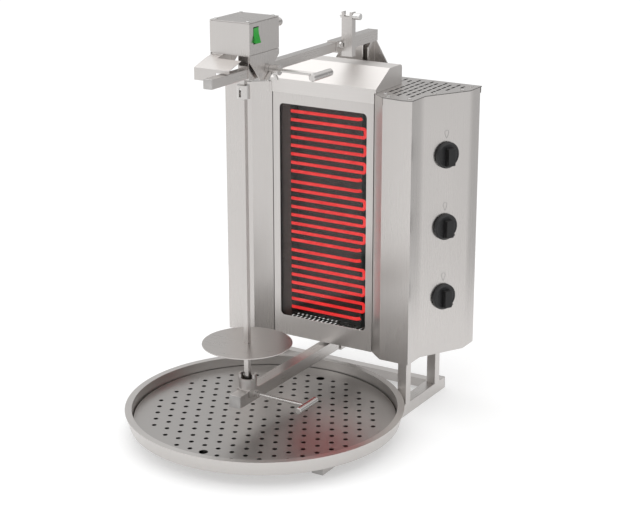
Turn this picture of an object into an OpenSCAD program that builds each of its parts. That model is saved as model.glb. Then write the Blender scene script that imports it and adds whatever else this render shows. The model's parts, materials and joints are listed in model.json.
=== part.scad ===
// Electric upright skewer grill: a glazed heater cabinet with three heating zones, a motor-driven
// vertical skewer on two sliding carriages, and a round drip tray on a square-tube stand.
// Origin: on the ground, on the middle plane, straight below the front face of the window panel.
// +X is the side of the knobs, -Y is the front, +Z is up. All sizes in millimetres.

/* [Cabinet] */
// Width over both wings
body_w = 538; // [440:1:660]
// Height of the cabinet from its floor to the vented covers
body_h = 545; // [440:1:660]
// Depth from the window panel to the back panel
body_d = 168; // [140:1:220]
// Width of the window panel
panel_w = 236; // [200:1:280]
// Thickness of the cabinet sheets
sheet = 1.5; // [1:0.1:2.5]

/* [Window and heating] */
// Width of the window opening
window_w = 204; // [150:1:230]
// Number of heating zones, one knob each
zones = 3; // [2:1:4]
// Heating rows in one zone
rows = 8; // [4:2:12]
// Diameter of the heating tube
rod_d = 6.5; // [5:0.1:8]

/* [Skewer] */
// Distance of the skewer axis in front of the window panel
skewer_reach = 284; // [220:1:340]
// Side of the square skewer bar
bar = 10; // [8:0.5:14]
// Diameter of the meat disc
disc_d = 176; // [140:1:220]
// Height of the meat disc above the ground
disc_z = 205; // [160:1:260]

/* [Drip tray] */
// Outer diameter of the tray rim
tray_d = 557; // [460:1:670]
// Height of the tray
tray_h = 30; // [24:1:45]
// Distance between the holes of the grate
hole_pitch = 31.1; // [24:0.1:40]
// Diameter of the drain holes
hole_d = 9.5; // [6:0.1:12]

/* [Stand] */
// Side of the square tube of the two floor rails
rail = 25; // [20:1:35]
// Side of the square tube of the posts and cross tubes
post = 20; // [15:1:25]
// Height of the cabinet floor above the ground
stand_h = 114; // [100:1:140]

/* [Arms] */
// Side of the square tube of the lower arm
arm_low = 25; // [20:1:30]
// Side of the square tube of the upper arm
arm_up = 18; // [15:0.5:24]
// Sideways offset of the upper arm, which lets the drive shaft pass beside it
arm_side = 24; // [22:0.5:30]

/* [Motor head] */
// Width of the motor housing
box_w = 86; // [80:1:110]
// Depth of the motor housing
box_d = 99; // [85:1:120]
// Height of the motor housing
box_h = 59; // [50:1:80]

/* [View] */
// Piece to show, or all

/* [Hidden] */
$fn = 48;
wall = 2;                            // wall of the square tubes
fit = 0.1;                           // gap around pieces that slide on flat faces
run = 0.05;                          // radial gap of turning fits
seam = 0.5;                          // gap between neighbouring sheets
through = 1;                         // how far a cutter passes the face it cuts

// Stand
rail_x = body_w/2 - 58;              // outer face of a rail
post_front = -20;                    // front face of the front posts
post_rear = body_d - 58;             // front face of the rear posts
tray_r = tray_d/2;
rim_gap = 0.5;                       // gap between the tray rim and the front posts
post_in = rail_x - post;             // inner face of a post
tray_y = post_front - sqrt(max(pow(tray_r + rim_gap, 2) - pow(post_in, 2), 900));
rail_front = tray_y - tray_r*0.45;
rail_rear = body_d - 12;
cross_front = -post/2;                // front face of the cross tube under the window panel
cross_rear = rail_rear - 24;         // front face of the rear cross tube

// Cabinet outline, one half; the other is its mirror image
flare_w = 32.5;                      // the flare goes from the panel out to the wing
flare_d = 27;                        // and comes forward by this much
side_run = 52;                       // width that the slanted control face takes
face_d = 53;                         // depth of the outer edge of the wing face
slant_d = 93;                        // depth that the control face takes
edge_x = panel_w/2 + seam + 1;
wing_x = edge_x + flare_w;
out_x = body_w/2;
wing_path = [[edge_x, 14], [edge_x, 0], [wing_x, -flare_d], [out_x - side_run, -flare_d],
             [out_x - side_run, face_d - flare_d], [out_x, face_d - flare_d + slant_d],
             [out_x, body_d - sheet]];
floor_z = stand_h;
top_z = floor_z + body_h;            // upper face of the vented covers
deck_z = top_z - sheet;

// Window panel and hood
hood_w = panel_w + 10;
hood_low = top_z - 22;               // lower edge of the front flange
hood_bend = top_z + 7;
hood_top = top_z + 40.5;
hood_slope = 55;                     // depth at which the slope meets the flat top
hood_rear = 106;
win_z0 = floor_z + 43.5;
win_z1 = hood_low - 22.5;
win_r = 9;
glass_t = 4;
panel_back = 14;                     // depth of the folded edges of the panel

// Heating rows
zone_pitch = (win_z1 - win_z0 - 11.5)/zones;
row_pitch = zone_pitch*0.97/rows;
rod_y = 15;                          // depth of the rods behind the panel face
bend_r = 5;
bend_x = window_w/2 - 10.5;          // middle line of the outermost stretch of a bend
row_end = bend_x - bend_r;
reflector_y = 40;
lead_y = 70;                         // the cold ends reach back to here
lead_turn = 8;
lead_x = row_end - 8;                // place of the cold ends
reflector_low = win_z0 - 6;
reflector_x = window_w/2 + 5;

// Skewer and lower bearing
skewer_y = -skewer_reach;
arm_low_top = floor_z - 4.5;
arm_low_z = arm_low_top - arm_low/2;
arm_low_front = skewer_y - 45;
arm_low_rear = body_d - 18;
saddle_l = 32;
saddle_t = 3.5;
saddle_y = skewer_y;                 // middle of the saddle
cup_z = arm_low_top + saddle_t + fit;
cup_d = 35.5;
cup_h = 20;
cup_tab = 8;
cup_floor = 5;
bush_d = 24;
bush_h = 9;
pivot_d = 12;
low_axis_z = arm_low_z + 2;          // axis of the lower clamp handle
low_axis_y = skewer_y + 6;

// Upper arm
arm_up_z = hood_top + 42.5;
arm_up_front = skewer_y - 148;
arm_up_rear = 150;
sleeve_wall = 2.2;
sleeve = arm_up + 2*sleeve_wall + 2*fit;
sleeve_front = -4;
sleeve_rear = 162;
tower_y = min(sleeve_rear, body_d) - 6;
tower_t = 3;
fork_w = 24;
fork_y = 14;
fork_d = 14;
fork_z0 = arm_up_z - 20;
fork_z1 = arm_up_z + 68;
fork_x = arm_side + sleeve/2;
fork_axis_z = fork_z1 - 8;
fork_axis_y = fork_y + fork_d/2 - 1;

// Motor head
box_y0 = skewer_y - 43;              // front face of the motor housing
box_y1 = box_y0 + box_d;
box_z0 = arm_up_z + arm_up/2 + 26.5;
box_z1 = box_z0 + box_h;
lid_t = 1.5;
cheek_tip_z = arm_up_z - arm_up/2 - 7;
cheek_tip = 14;                      // width of the flat lower tip of a cheek
cheek_step = 11;                     // height of the straight upper part of a cheek
guide_wall = 2.6;
guide = arm_up + 2*guide_wall + 2*fit;
guide_y0 = box_y0 + 8;
guide_y1 = box_y1 - 6;
up_axis_y = skewer_y + 26;           // axis of the upper clamp handle
up_axis_z = arm_up_z;
shaft_d = 14;
collar_d = 24.5;
collar_z1 = arm_up_z - 29;
collar_h = 25.5;
collar_lift = 13;                    // the collar slides up this far to free the bar
pin_d = 4;
collar_pin_z = 19;                   // height of the cross pin in the collar
collar_z0 = collar_z1 - collar_h;
bar_top = collar_z0 + 12;
rocker_y = box_y0 + 22;
rocker_z = box_z0 + 34;
screw_d = 5;
frame_w = 18;                        // outer width of the rocker's frame
frame_h = 31;                        // outer height of the rocker's frame
frame_t = 0.8;

// Clamp handles
boss_d = 19;
boss_l = 12;
handle_rod = 7;
handle_bar = 14;
handle_bar_l = 66;
up_handle_l = 100;
low_handle_l = 113;

// Knobs
knob_d = 57;
knob_h = 20;
spindle_d = 6;
grip_w = 14;                         // width of the grip bar across a knob
knob_s = 0.5;                        // place of the knobs across the control face
ctl_a = [out_x - side_run, face_d - flare_d];
ctl_b = [out_x, face_d - flare_d + slant_d];
ctl_dir = (ctl_b - ctl_a)/norm(ctl_b - ctl_a);
ctl_turn = atan2(-ctl_dir[0], ctl_dir[1]);
ctl_mid = ctl_a + (ctl_b - ctl_a)*knob_s;
function zone_z(i) = (win_z0 + win_z1)/2 + (i - (zones - 1)/2)*zone_pitch;

// Vent slots
slot_w = 4.5;
slot_l = 19;
slot_px = 15;
slot_py = 23;
vent_px = 10.7;                      // the floor's slots stand closer together
vent_w = 3.6;

// Colours
steel = [0.74, 0.73, 0.71];
bright = [0.82, 0.81, 0.79];
dark_steel = [0.25, 0.25, 0.25];
black = [0.08, 0.08, 0.08];
glow = [0.95, 0.18, 0.12];
green = [0.10, 0.60, 0.18];
bronze = [0.72, 0.53, 0.28];
ceramic = [0.90, 0.88, 0.82];

// ---------- helpers ----------

function left_normal(a, b) = [a[1] - b[1], b[0] - a[0]]/norm(b - a);
// One corner of a folded sheet, moved sideways by its thickness
function mitre(p, i, t) =
    i == 0 ? p[0] + t*left_normal(p[0], p[1]) :
    i == len(p) - 1 ? p[i] + t*left_normal(p[i - 1], p[i]) :
    let (n1 = left_normal(p[i - 1], p[i]), n2 = left_normal(p[i], p[i + 1]), m = (n1 + n2)/norm(n1 + n2))
    p[i] + m*t/(m*n1);
// Outline of a sheet of thickness t that follows the path p
function fold(p, t) = concat(p, [for (i = [len(p) - 1 : -1 : 0]) mitre(p, i, t)]);
function side_of(p, s) = [for (q = p) [q[0]*s, q[1]]];

// Draws its children, outlined in Y and Z, as a solid from x0 to x1
module along_x(x0, x1) {
    translate([x0, 0, 0]) rotate([90, 0, 90]) linear_extrude(x1 - x0) children();
}

// Box between two corners
module span(a, b) {
    translate(a) cube(b - a);
}

// Square tube along Y
module tube_y(x, z, side, y0, y1, t) {
    difference() {
        span([x - side/2, y0, z - side/2], [x + side/2, y1, z + side/2]);
        span([x - side/2 + t, y0 - through, z - side/2 + t],
             [x + side/2 - t, y1 + through, z + side/2 - t]);
    }
}

module rod_x_axis(x0, x1, y, z, d) {
    translate([x0, y, z]) rotate([0, 90, 0]) cylinder(d = d, h = x1 - x0);
}

module rod_y_axis(x, y0, y1, z, d) {
    translate([x, y0, z]) rotate([-90, 0, 0]) cylinder(d = d, h = y1 - y0);
}

module round_rect(w, h, r) {
    square([w - 2*r, h], center = true);
    square([w, h - 2*r], center = true);
    for (x = [-1, 1], y = [-1, 1]) translate([x*(w/2 - r), y*(h/2 - r)]) circle(r);
}

module slot_2d(l, w) {
    square([w, l - w], center = true);
    for (y = [-1, 1]) translate([0, y*(l - w)/2]) circle(w/2, $fn = 20);
}

// ---------- stand ----------

module base_frame() color(steel) {
    for (s = [-1, 1]) {
        tube_y(s*(rail_x - rail/2), rail/2, rail, rail_front, rail_rear, wall);
        for (y = [post_front, post_rear]) difference() {
            span([s*(rail_x - post/2) - post/2, y, rail], [s*(rail_x - post/2) + post/2, y + post, floor_z]);
            span([s*(rail_x - post/2) - post/2 + wall, y + wall, rail - through],
                 [s*(rail_x - post/2) + post/2 - wall, y + post - wall, floor_z + through]);
        }
    }
    for (y = [cross_front, cross_rear]) difference() {
        span([-(rail_x - rail), y, 0], [rail_x - rail, y + post, post]);
        span([-(rail_x - rail) - through, y + wall, wall],
             [rail_x - rail + through, y + post - wall, post - wall]);
    }
}

// Closing plugs of the rails and of both arms
plug_t = 2;
plug_in = 8;
module plug_y(x, z, side, t, y, dir) {
    inner = side - 2*t - 0.1;
    span([x - side/2, min(y, y - dir*plug_t), z - side/2],
         [x + side/2, max(y, y - dir*plug_t), z + side/2]);
    span([x - inner/2, min(y, y + dir*plug_in), z - inner/2],
         [x + inner/2, max(y, y + dir*plug_in), z + inner/2]);
}
module tube_plugs() color(steel) {
    for (s = [-1, 1]) {
        plug_y(s*(rail_x - rail/2), rail/2, rail, wall, rail_front, 1);
        plug_y(s*(rail_x - rail/2), rail/2, rail, wall, rail_rear, -1);
    }
    plug_y(0, arm_low_z, arm_low, wall, arm_low_front, 1);
    plug_y(arm_side, arm_up_z, arm_up, 1.5, arm_up_front, 1);
}

module lower_arm() color(steel) tube_y(0, arm_low_z, arm_low, arm_low_front, arm_low_rear, wall);

// Straps that hang the lower arm under the cabinet floor
hanger_t = 3;
hanger_l = 30;
hanger_y = 52;                       // front face of the front strap
module arm_hangers() color(steel)
    for (y = [hanger_y, arm_low_rear - hanger_l - 8]) difference() {
        union() {
            span([-arm_low/2 - hanger_t, y, arm_low_z - arm_low/2 - hanger_t],
                 [arm_low/2 + hanger_t, y + hanger_l, floor_z]);
            span([-arm_low/2 - 18, y, floor_z - hanger_t], [arm_low/2 + 18, y + hanger_l, floor_z]);
        }
        span([-arm_low/2, y - through, arm_low_z - arm_low/2],
             [arm_low/2, y + hanger_l + through, arm_low_z + arm_low/2]);
    }

// ---------- drip tray ----------

tray_t = 1.2;
tray_floor = rail;
tray_in = tray_r - 12.4;             // outer face of the upright wall
ledge = 10;
grate_z = tray_floor + 7.5;
grate_t = 1.5;
module drip_tray() color(bright) translate([0, tray_y, 0]) rotate_extrude($fn = 180)
    polygon(fold([[0, tray_floor], [tray_in - ledge, tray_floor], [tray_in - ledge, grate_z - tray_t],
                  [tray_in, grate_z - tray_t], [tray_in, tray_floor + tray_h - tray_t],
                  [tray_r - tray_t, tray_floor + tray_h - tray_t], [tray_in + 3, tray_floor + 1]], tray_t));

// Holes stand in a triangular pattern, with two finger holes in place of the outermost middle ones
hole_rows = floor((tray_in - 35)/hole_pitch/0.866);
reach = tray_in - 37;
finger_d = 18;
module tray_grate() color(steel) translate([0, tray_y, grate_z]) difference() {
    cylinder(r = tray_in - tray_t - 0.8, h = grate_t, $fn = 180);
    translate([0, 0, -through]) linear_extrude(grate_t + 2*through)
        for (j = [-hole_rows : hole_rows], i = [-14 : 14])
            let (x = hole_pitch*(i - j/2), y = hole_pitch*0.8660254*j, r = norm([x, y]))
            if (r < reach && r > 1) translate([x, y])
                circle(d = (abs(x) < 1 && abs(j) == hole_rows) ? finger_d : hole_d, $fn = 16);
}

// ---------- lower bearing ----------

cheek_t = 2.5;
saddle_drop = 12.5;                  // how far the saddle reaches down beside the arm
module cup_saddle() color(bright) difference() {
    union() {
        span([-arm_low/2 - fit - cheek_t, saddle_y - saddle_l/2, arm_low_top - saddle_drop],
             [arm_low/2 + fit + cheek_t, saddle_y + saddle_l/2, cup_z]);
        rod_x_axis(arm_low/2 + fit, arm_low/2 + fit + cheek_t + 3, low_axis_y, low_axis_z, 15);
    }
    span([-arm_low/2 - fit, saddle_y - saddle_l/2 - through, arm_low_z - arm_low/2 - through],
         [arm_low/2 + fit, saddle_y + saddle_l/2 + through, arm_low_top + fit]);
    rod_x_axis(0, arm_low, low_axis_y, low_axis_z, 8 + 2*run);
}

module bearing_cup() color(bright) translate([0, skewer_y, cup_z]) difference() {
    union() {
        cylinder(d = cup_d, h = cup_h);
        for (a = [20, 200]) intersection() {
            cylinder(d = cup_d, h = cup_h + cup_tab);
            rotate(a) translate([0, -9, 0]) cube([cup_d, 18, cup_h + cup_tab]);
        }
    }
    translate([0, 0, cup_h - 9]) cylinder(d = cup_d - 7, h = cup_tab + 10);
    translate([0, 0, cup_floor]) cylinder(d = bush_d, h = cup_h);
}

module cup_bush() color(bronze) translate([0, skewer_y, cup_z + cup_floor]) difference() {
    cylinder(d = bush_d, h = bush_h);
    translate([0, 0, 2]) cylinder(d = pivot_d + 2*run, h = bush_h);
}

// Clamp handle that points along +X from a face: screw, boss, rod and cross bar in one piece
module clamp_handle(x_tip, x_face, y, z, reach_x, hub_d, hub_l) {
    rod_x_axis(x_tip, x_face, y, z, 8);
    rod_x_axis(x_face, x_face + hub_l, y, z, hub_d);
    rod_x_axis(x_face + hub_l, x_face + reach_x, y, z, handle_rod);
    translate([x_face + reach_x, y - handle_bar_l/2, z]) rotate([-90, 0, 0]) {
        translate([0, 0, 1.5]) cylinder(d = handle_bar, h = handle_bar_l - 3);
        cylinder(d1 = handle_bar - 3, d2 = handle_bar, h = 1.5);
        translate([0, 0, handle_bar_l - 1.5]) cylinder(d1 = handle_bar, d2 = handle_bar - 3, h = 1.5);
    }
}

low_face = arm_low/2 + fit + cheek_t + 3 + 0.3;
module lower_clamp() color(bright)
    clamp_handle(arm_low/2 + 0.3, low_face, low_axis_y, low_axis_z, low_handle_l, 10, 5);

// ---------- skewer ----------

bar_low = cup_z + cup_floor + 2 + 0.1;
pivot_h = bush_h - 2 + 1;
module skewer_bar() color(bright) translate([0, skewer_y, 0]) difference() {
    union() {
        translate([0, 0, bar_low]) cylinder(d = pivot_d, h = pivot_h);
        translate([-bar/2, -bar/2, bar_low + pivot_h]) cube([bar, bar, bar_top - bar_low - pivot_h]);
    }
    translate([-bar, 0, disc_z - 6]) rotate([0, 90, 0]) cylinder(d = 4, h = 2*bar);
}

disc_t = 2;
module meat_disc() color(bright) translate([0, skewer_y, disc_z - disc_t]) difference() {
    cylinder(d = disc_d, h = disc_t, $fn = 120);
    translate([-bar/2 - fit, -bar/2 - fit, -through]) cube([bar + 2*fit, bar + 2*fit, disc_t + 2*through]);
}

module disc_pin() color(bright) rod_x_axis(-bar/2 - 4, bar/2 + 4, skewer_y, disc_z - 6, 4);

// Square sleeve that couples the bar to the shaft; it slides up along its pin to free the bar
module drive_collar() color(bright) translate([0, skewer_y, collar_z0]) difference() {
    cylinder(d = collar_d, h = collar_h);
    translate([-bar/2 - fit, -bar/2 - fit, -through]) cube([bar + 2*fit, bar + 2*fit, collar_h + 2*through]);
    translate([-pin_d/2 - fit, -collar_d, collar_pin_z - collar_lift - pin_d/2 - 0.2])
        cube([pin_d + 2*fit, 2*collar_d, collar_lift + pin_d + 0.4]);
}

module collar_pin() color(bright) translate([0, skewer_y - collar_d/2 + 1, collar_z0 + collar_pin_z])
    rotate([-90, 0, 0]) cylinder(d = pin_d, h = collar_d - 2, $fn = 24);

// Round shaft with a square lower end that the collar slides on
square_top = collar_z1 + collar_lift + 2;
module output_shaft() color(bright) translate([0, skewer_y, 0]) difference() {
    union() {
        span([-bar/2, -bar/2, bar_top + 2], [bar/2, bar/2, square_top]);
        translate([0, 0, square_top]) cylinder(d = shaft_d, h = box_z0 + 16 - square_top);
    }
    translate([0, -shaft_d, collar_z0 + collar_pin_z]) rotate([-90, 0, 0])
        cylinder(d = pin_d, h = 2*shaft_d, $fn = 24);
}

// ---------- motor head ----------

carriage_t = 2;
groove = 1.5;                        // depth of the shadow groove under the motor housing
cheek_top = box_z0 - 1.2;
cheek_low = [[box_y0, cheek_top], [box_y0, box_z0 - cheek_step],
             [skewer_y - cheek_tip/2, cheek_tip_z], [skewer_y + cheek_tip/2, cheek_tip_z],
             [box_y1, box_z0 - cheek_step], [box_y1, cheek_top]];
module motor_carriage() color(steel) difference() {
    union() {
        for (x = [-box_w/2, box_w/2 - carriage_t]) along_x(x, x + carriage_t) polygon(cheek_low);
        span([-box_w/2 + groove, box_y0 + groove, box_z0 - carriage_t],
             [box_w/2 - groove, box_y1 - groove, box_z0]);
        span([arm_side + guide/2, guide_y0, box_z0 - 16], [box_w/2 - 1, guide_y1, box_z0 - 13]);
    }
    translate([0, skewer_y, box_z0 - 5]) cylinder(d = shaft_d + 4, h = 8);
    rod_x_axis(box_w/2 - 5, box_w/2 + 5, up_axis_y, up_axis_z, 8 + 2*run);
}

// Square guide that slides on the upper arm
module carriage_guide() color(steel) difference() {
    union() {
        span([arm_side - guide/2, guide_y0, arm_up_z - guide/2],
             [arm_side + guide/2, guide_y1, arm_up_z + guide/2]);
        span([arm_side - guide/2, guide_y0, arm_up_z + guide/2 - 1],
             [arm_side + guide/2, guide_y1, box_z0 - 2]);
        rod_x_axis(arm_side + guide/2 - 1, box_w/2 - 2, up_axis_y, up_axis_z, 14);
    }
    span([arm_side - arm_up/2 - fit, guide_y0 - through, arm_up_z - arm_up/2 - fit],
         [arm_side + arm_up/2 + fit, guide_y1 + through, arm_up_z + arm_up/2 + fit]);
    span([arm_side - guide/2 + 2, guide_y0 - through, arm_up_z + guide/2 + 2],
         [arm_side + guide/2 - 2, guide_y1 + through, box_z0 - 2 - 2]);
    rod_x_axis(arm_side + arm_up/2, box_w/2, up_axis_y, up_axis_z, 8 + 2*run);
}

box_t = 1.5;
module motor_housing() color(steel) difference() {
    span([-box_w/2, box_y0, box_z0], [box_w/2, box_y1, box_z1 - lid_t - lid_gap]);
    span([-box_w/2 + box_t, box_y0 + box_t, box_z0 + box_t],
         [box_w/2 - box_t, box_y1 - box_t, box_z1]);
    translate([0, skewer_y, box_z0 - through]) cylinder(d = shaft_d + 4, h = 5);
    span([box_w/2 - 5, rocker_y - frame_w/2 - 0.1, rocker_z - frame_h/2 - 0.1],
         [box_w/2 + 5, rocker_y + frame_w/2 + 0.1, rocker_z + frame_h/2 + 0.1]);
    rod_y_axis(gland_x, box_y1 - 5, box_y1 + 5, box_z1 - 14, 12);
}

gland_x = box_w/2 - 10;              // the gland sits near the housing's right rear edge
lid_in = 8;                          // distance of the lid screws from the corners
lid_gap = 0.6;                       // dark seam between the lid and the walls
lid_rim = 4;                         // the lid's inner rim reaches down this far
lid_rim_in = box_t + 0.2;
module motor_lid() color(steel) difference() {
    union() {
        span([-box_w/2, box_y0, box_z1 - lid_t], [box_w/2, box_y1, box_z1]);
        difference() {
            span([-box_w/2 + lid_rim_in, box_y0 + lid_rim_in, box_z1 - lid_t - lid_rim],
                 [box_w/2 - lid_rim_in, box_y1 - lid_rim_in, box_z1 - lid_t]);
            span([-box_w/2 + lid_rim_in + 1.2, box_y0 + lid_rim_in + 1.2, box_z1 - lid_t - lid_rim - through],
                 [box_w/2 - lid_rim_in - 1.2, box_y1 - lid_rim_in - 1.2, box_z1 - lid_t]);
        }
    }
    for (x = [-1, 1], y = [box_y0 + lid_in, box_y1 - lid_in])
        translate([x*(box_w/2 - lid_in), y, box_z1 - 5]) cylinder(d = 4.4, h = 8, $fn = 24);
}

module lid_screws() color(bright)
    for (x = [-1, 1], y = [box_y0 + lid_in, box_y1 - lid_in])
        translate([x*(box_w/2 - lid_in), y, box_z1]) {
            cylinder(d = 7.5, h = 1.2, $fn = 24);
            translate([0, 0, 1.2]) cylinder(d1 = 7.5, d2 = 4.5, h = 1, $fn = 24);
            translate([0, 0, -8]) cylinder(d = 4, h = 8, $fn = 24);
        }

// Synchronous motor on a flat round gearbox
module gear_motor() color(dark_steel) translate([0, skewer_y, box_z0 + box_t]) difference() {
    union() {
        translate([0, 8, 0]) cylinder(d = 62, h = 22, $fn = 64);
        translate([0, 8, 22]) cylinder(d = 50, h = 24, $fn = 64);
        for (s = [-1, 1]) translate([s*33, 8, 0]) cylinder(d = 10, h = 3);
    }
    translate([0, 0, -through]) cylinder(d = shaft_d + 2*run, h = 16);
}

module switch_frame() color(black) difference() {
    span([box_w/2 - 14, rocker_y - frame_w/2, rocker_z - frame_h/2],
         [box_w/2, rocker_y + frame_w/2, rocker_z + frame_h/2]);
    span([box_w/2 - 8, rocker_y - frame_w/2 + frame_t, rocker_z - frame_h/2 + frame_t],
         [box_w/2 + 5, rocker_y + frame_w/2 - frame_t, rocker_z + frame_h/2 - frame_t]);
}

// Rocker with its upper end pressed, so that the lower end stands out
rocker_axis_x = box_w/2 - 3;
rocker_h = frame_h - 2*frame_t - 1.2;
rocker_out = 6;                      // how far the lower end stands out
module rocker_switch() color(green) translate([0, rocker_y, rocker_z])
    along_axis_y(frame_w/2 - frame_t - fit)
        polygon([[rocker_axis_x - 1.5, -rocker_h/2 + 1.7], [box_w/2 + rocker_out, -rocker_h/2],
                 [box_w/2 + rocker_out*0.2, rocker_h*0.1], [box_w/2 + 0.6, rocker_h/2],
                 [rocker_axis_x - 1.5, rocker_h/2 - 1.7]]);
module along_axis_y(half) {
    translate([0, half, 0]) rotate([90, 0, 0]) linear_extrude(2*half) children();
}

module motor_gland() color(steel) translate([gland_x, box_y1, box_z1 - 14]) rotate([-90, 0, 0]) difference() {
    union() {
        cylinder(d = 17, h = 8);
        translate([0, 0, 8]) cylinder(d = 16, h = 8);
        translate([0, 0, 16]) cylinder(d1 = 16, d2 = 10, h = 5);
        translate([0, 0, -6]) cylinder(d = 11.8, h = 6);
        translate([0, 0, -5.5]) cylinder(d = 16, h = 3.5);
    }
    translate([0, 0, -8]) cylinder(d = 6, h = 32);
}

// Splash shield in front of the drive shaft, notched for the upper arm and held by a tab at its left
shield_w = 76;
shield_front = skewer_y - 102;
shield_z = arm_up_z + 17;
shield_cut = arm_side - guide/2 - 3.5;
shield_tab = 24;                     // width of the tab under the carriage
shield_path = [[shield_front, shield_z - 23], [shield_front, shield_z],
               [box_y0 - 20, shield_z + 12], [box_y0, box_z0 - 3]];
module arm_shield() color(steel) difference() {
    union() {
        along_x(-shield_w/2, shield_w/2) polygon(fold(shield_path, -1.2));
        span([-shield_w/2, box_y0 - 1, box_z0 - 5], [shield_w/2, guide_y0 - 0.3, box_z0 - 2]);
    }
    span([shield_cut, shield_front - 5, shield_z - 40], [shield_w, box_y0 - 24, arm_up_z + arm_up/2 + 1.5]);
    span([-shield_w/2 + shield_tab, box_y0 - 20, shield_z], [shield_w, guide_y0 + through, box_z0]);
}

up_face = box_w/2 + 8.6;
module upper_clamp() color(bright)
    clamp_handle(arm_side + arm_up/2 + 0.3, up_face, up_axis_y, up_axis_z, up_handle_l, boss_d, boss_l);

// Lock nut with two wings, between the cheek and the boss of the clamp
module wing_nut() color(bright) difference() {
    union() {
        rod_x_axis(box_w/2 + 0.3, box_w/2 + 8.3, up_axis_y, up_axis_z, 16);
        for (a = [130, 215]) translate([box_w/2 + 4.3, up_axis_y, up_axis_z]) rotate([a, 0, 0])
            translate([0, 2, 17]) rotate([90, 0, 0]) linear_extrude(4) slot_2d(22, 6);
    }
    rod_x_axis(box_w/2 - 1, box_w/2 + 10, up_axis_y, up_axis_z, 8 + 2*run);
}

// ---------- upper arm ----------

module upper_arm() color(steel) tube_y(arm_side, arm_up_z, arm_up, arm_up_front, arm_up_rear, 1.5);

module arm_sleeve() color(steel) difference() {
    tube_y(arm_side, arm_up_z, sleeve, sleeve_front, sleeve_rear, sleeve_wall);
    rod_x_axis(arm_side, arm_side + sleeve, 6, arm_up_z + 3, 8);
    translate([arm_side, 62, arm_up_z]) cylinder(d = 6, h = sleeve, $fn = 24);
}

module sleeve_bolts() color(bright) {
    rod_x_axis(arm_side + arm_up/2, arm_side + sleeve/2 + 2, 6, arm_up_z + 3, 8);
    translate([arm_side + sleeve/2, 6, arm_up_z + 3]) rotate([0, 90, 0]) cylinder(d = 13, h = 5, $fn = 6);
    translate([arm_side, 62, arm_up_z + arm_up/2]) cylinder(d = 6, h = 4.5, $fn = 24);
}

// Upright plate at the rear that carries the sleeve, with two ribs and a foot on the deck
tower_top = arm_up_z - sleeve/2;     // the sleeve rests on the upper edge
tower_high = arm_side + sleeve/2;    // half width at the top
tower_low = tower_high + (tower_top - top_z)*0.6;
tower_foot = 30;                     // depth of the foot
tower_rib = 26;                      // depth of a rib under the sleeve
module sleeve_tower() color(steel) {
    translate([0, tower_y + tower_t, 0]) rotate([90, 0, 0]) linear_extrude(tower_t)
        polygon([[-tower_low, top_z], [tower_low, top_z], [tower_high, tower_top], [-tower_high, tower_top]]);
    span([-tower_low + 12, tower_y + tower_t - tower_foot, top_z],
         [tower_low - 12, tower_y + tower_t, top_z + tower_t]);
    for (x = [arm_side - 8, arm_side + 5]) along_x(x, x + 3)
        polygon([[tower_y + 1, top_z + 1], [tower_y - tower_rib, top_z + 1], [tower_y - tower_rib, tower_top - 10],
                 [tower_y - tower_rib + 8, tower_top], [tower_y + 1, tower_top]]);
}

// Channel beside the sleeve with two ears, which a screw draws together
fork_t = 2;
module fork_post() color(steel) difference() {
    span([fork_x, fork_y, fork_z0], [fork_x + fork_w, fork_y + fork_d, fork_z1]);
    span([fork_x + fork_t, fork_y + fork_t, fork_z0 - through],
         [fork_x + fork_w - fork_t, fork_y + fork_d + through, fork_z1 + through]);
    span([fork_x + 6, fork_y - through, fork_z1 - 9],
         [fork_x + fork_w - 6, fork_y + fork_d, fork_z1 + through]);
    rod_x_axis(fork_x - through, fork_x + fork_w + through, fork_axis_y, fork_axis_z, 6 + 2*run);
}

module fork_screw() color(bright) {
    rod_x_axis(fork_x - 4, fork_x + fork_w + 2, fork_axis_y, fork_axis_z, 6);
    rod_x_axis(fork_x + fork_w + 0.3, fork_x + fork_w + 16, fork_axis_y, fork_axis_z, 13);
    rod_x_axis(fork_x - 5, fork_x - 0.3, fork_axis_y, fork_axis_z, 10);
}

// ---------- cabinet ----------

floor_half = concat([[panel_w/2 - sheet, sheet], [panel_w/2 - sheet, panel_back],
                     [edge_x + sheet, panel_back]],
                    [for (i = [1 : len(wing_path) - 1]) mitre(wing_path, i, sheet)]);
module body_floor() color(steel) difference() {
    translate([0, 0, floor_z]) linear_extrude(sheet)
        polygon(concat(floor_half, [for (i = [len(floor_half) - 1 : -1 : 0]) side_of(floor_half, -1)[i]]));
    for (r = [0, 1], i = [-13 : 12])
        translate([(i + r/2)*vent_px, body_d*0.63 + r*slot_py, floor_z - through])
            linear_extrude(sheet + 2*through) slot_2d(slot_l, vent_w);
}

win_z = (win_z0 + win_z1)/2;
win_h = win_z1 - win_z0;
module front_panel() color(steel) difference() {
    union() {
        span([-panel_w/2, 0, floor_z], [panel_w/2, sheet, hood_bend - 6]);
        for (s = [-1, 1]) span([s*(panel_w/2 - sheet/2) - sheet/2, 0, floor_z],
                               [s*(panel_w/2 - sheet/2) + sheet/2, panel_back, hood_bend - 6]);
        span([-panel_w/2, 0, floor_z + sheet], [panel_w/2, panel_back, floor_z + 2*sheet]);
    }
    translate([0, sheet + through, win_z]) rotate([90, 0, 0])
        linear_extrude(sheet + 2*through) round_rect(window_w, win_h, win_r);
}

glass_w = window_w + 16;
glass_h = win_h + 16;
module window_glass() color([0.3, 0.3, 0.33, 0.35])
    span([-glass_w/2, sheet, win_z - glass_h/2], [glass_w/2, sheet + glass_t, win_z + glass_h/2]);

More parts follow.
